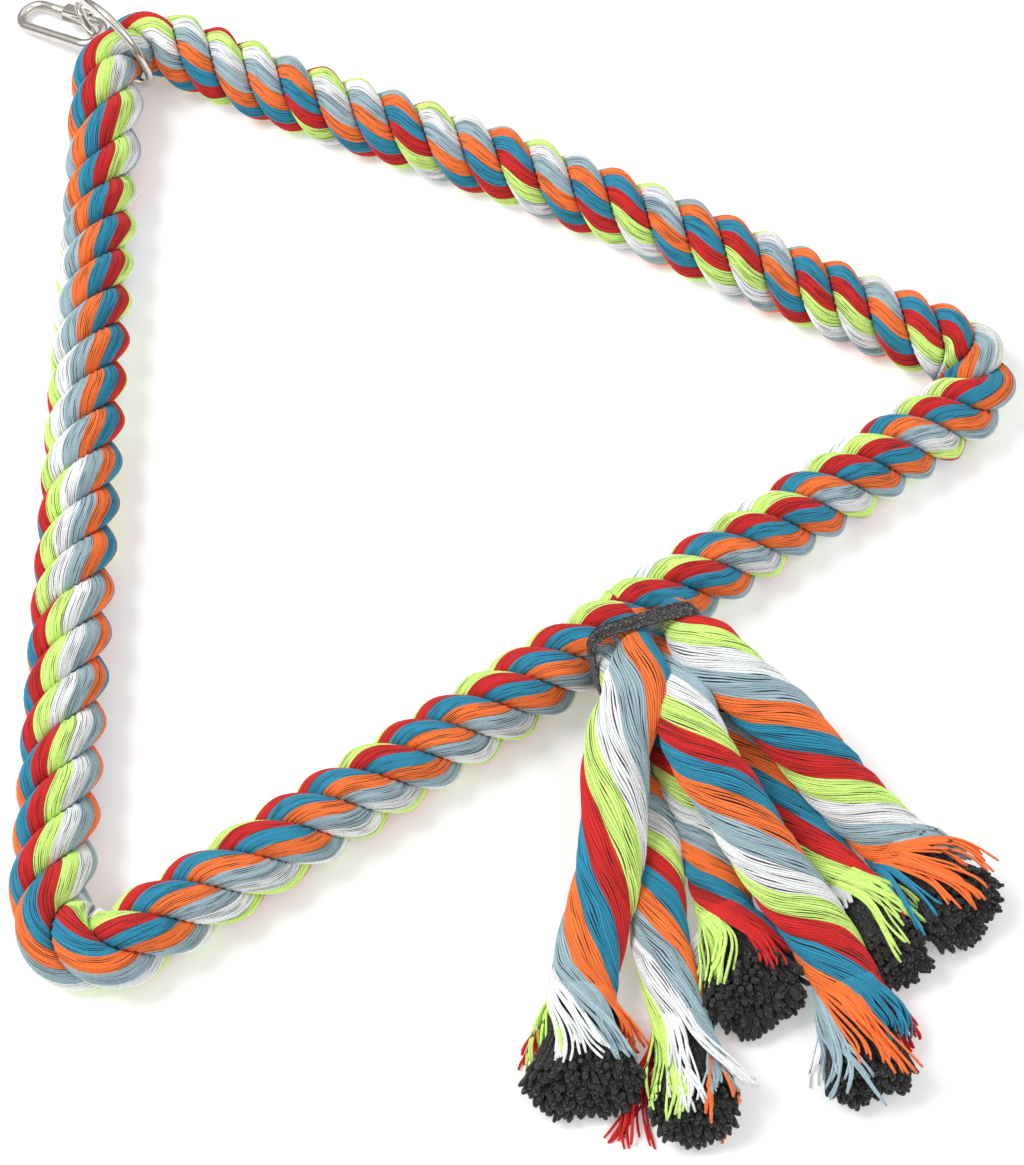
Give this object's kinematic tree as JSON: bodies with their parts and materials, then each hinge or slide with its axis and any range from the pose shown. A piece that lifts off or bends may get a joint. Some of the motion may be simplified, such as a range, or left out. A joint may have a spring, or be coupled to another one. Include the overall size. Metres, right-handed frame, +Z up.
{
  "type": "rope swing perch",
  "caption": "Triangular hanging perch of thick laid cotton rope on a bent wire, with a ring and screw link at the apex and a bound tassel of frayed strand ends under the base.",
  "frame": {"origin": "middle of the footprint, on the surface the perch lies on", "axes": "+X along the base, +Y from the base and tassel towards the apex, +Z up out of the triangle's plane"},
  "size_m": [0.4516, 0.6038, 0.0504],
  "materials": {
    "cotton_red": "matte yarn",
    "cotton_blue": "matte yarn",
    "cotton_green": "matte yarn",
    "cotton_dark": "matte yarn",
    "nickel": "satin nickel plate",
    "wire": "drawn wire"
  },
  "bodies": {
    "rope": {"rope_strand_a": "cotton_red", "rope_strand_b": "cotton_blue", "rope_strand_c": "cotton_green", "core_wire": "wire"},
    "ring": {"ring": "nickel"},
    "link": {"quick_link": "nickel"},
    "nut": {"link_nut": "nickel"},
    "tassel": {"whipping": "cotton_dark", "tail_cover_1": "cotton_red", "tail_cover_2": "cotton_blue", "tail_cover_3": "cotton_green", "tail_cover_4": "cotton_red", "tail_cover_5": "cotton_blue", "tail_cover_6": "cotton_green", "tail_core_1": "cotton_dark", "tail_core_2": "cotton_dark", "tail_core_3": "cotton_dark", "tail_core_4": "cotton_dark", "tail_core_5": "cotton_dark", "tail_core_6": "cotton_dark"}
  },
  "joints": [
    {"name": "ring_swing", "type": "hinge", "parent": "rope", "child": "ring", "pos_m": [0.01009, 0.24399, 0.017], "axis": [0.9775, 0.1723, 0.1219], "range_deg": [0, 50]},
    {"name": "link_swing", "type": "hinge", "parent": "ring", "child": "link", "pos_m": [0.00723, 0.26378, 0.012], "axis": [-0.1942, 0.5083, 0.839], "range_deg": [-20, 30]},
    {"name": "nut_slide", "type": "slide", "parent": "link", "child": "nut", "axis": [-0.3953, 0.8879, -0.2352], "range_m": [0, 0.0095]},
    {"name": "tassel_swing", "type": "hinge", "parent": "rope", "child": "tassel", "pos_m": [0.02861, -0.10024, 0.0124], "axis": [-1, 0, 0], "range_deg": [0, 70]}
  ]
}
